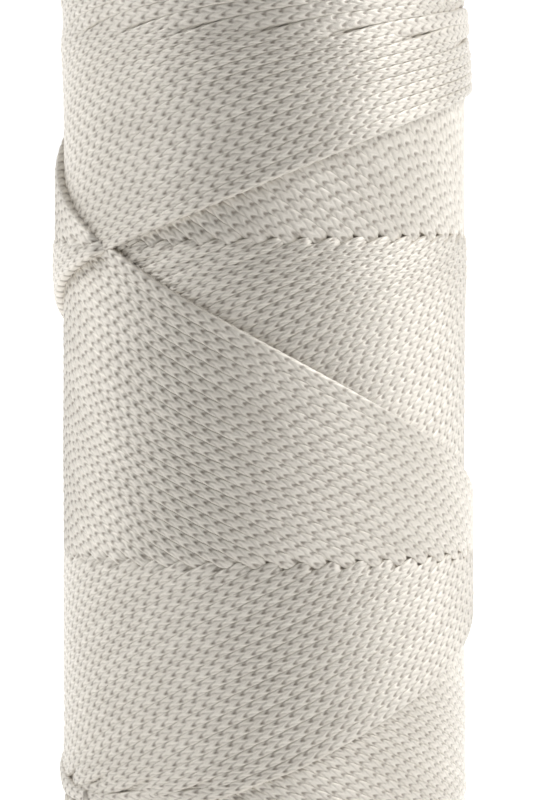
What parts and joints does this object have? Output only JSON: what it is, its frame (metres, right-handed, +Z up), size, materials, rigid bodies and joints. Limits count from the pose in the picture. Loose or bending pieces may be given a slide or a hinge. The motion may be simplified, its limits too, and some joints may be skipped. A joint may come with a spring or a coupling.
{
  "type": "waxed thread spool",
  "caption": "Flangeless thread spool: thick braided thread cross-wound on a straight paperboard tube with an open bore and a thread slit in each rim.",
  "frame": {"origin": "centre of the bore in the plane of the lower rim, which the spool stands on", "axes": "+Z up along the tube, +X towards the thread slits in the two rims"},
  "size_m": [0.0352, 0.0352, 0.08],
  "materials": {
    "thread": "satin",
    "paperboard": "matte"
  },
  "bodies": {
    "root": {"core_tube": "paperboard", "thread_layer_1": "thread", "thread_layer_2": "thread", "thread_layer_3": "thread", "thread_layer_4": "thread", "thread_layer_5": "thread", "start_tail": "thread", "finish_tail": "thread"}
  },
  "joints": []
}
